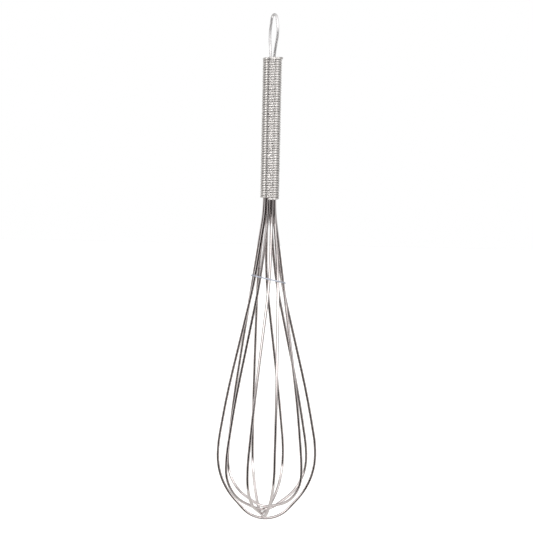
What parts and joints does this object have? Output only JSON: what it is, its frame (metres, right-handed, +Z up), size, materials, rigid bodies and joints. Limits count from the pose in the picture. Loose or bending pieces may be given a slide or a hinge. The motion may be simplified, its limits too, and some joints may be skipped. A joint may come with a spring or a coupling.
{
  "type": "balloon whisk",
  "caption": "Balloon whisk of polished wire: hoops crossing at a rounded tip, legs bound at the neck, a close-wound coil handle and a wire loop to hang it by.",
  "frame": {"origin": "where a hook carries the whisk: the underside of the wire at the top of the hanging loop, on the handle's line", "axes": "+Z up along the handle, from the balloon to the hanging loop; +X to the right and +Y away from whoever looks at the front"},
  "size_m": [0.0708, 0.0652, 0.3551],
  "materials": {
    "tine_wire": "drawn round stainless steel wire, polished bright",
    "handle_wire": "close-wound stainless steel wire, bright and slightly warm",
    "binding_wire": "thin bright stainless steel binding wire",
    "loop_wire": "bent stainless steel wire, polished bright"
  },
  "bodies": {
    "root": {"tine_loop_1": "tine_wire", "tine_loop_2": "tine_wire", "tine_loop_3": "tine_wire", "tine_loop_4": "tine_wire", "tine_loop_5": "tine_wire", "handle_coil": "handle_wire", "neck_ring": "binding_wire", "hanging_loop": "loop_wire"}
  },
  "joints": []
}
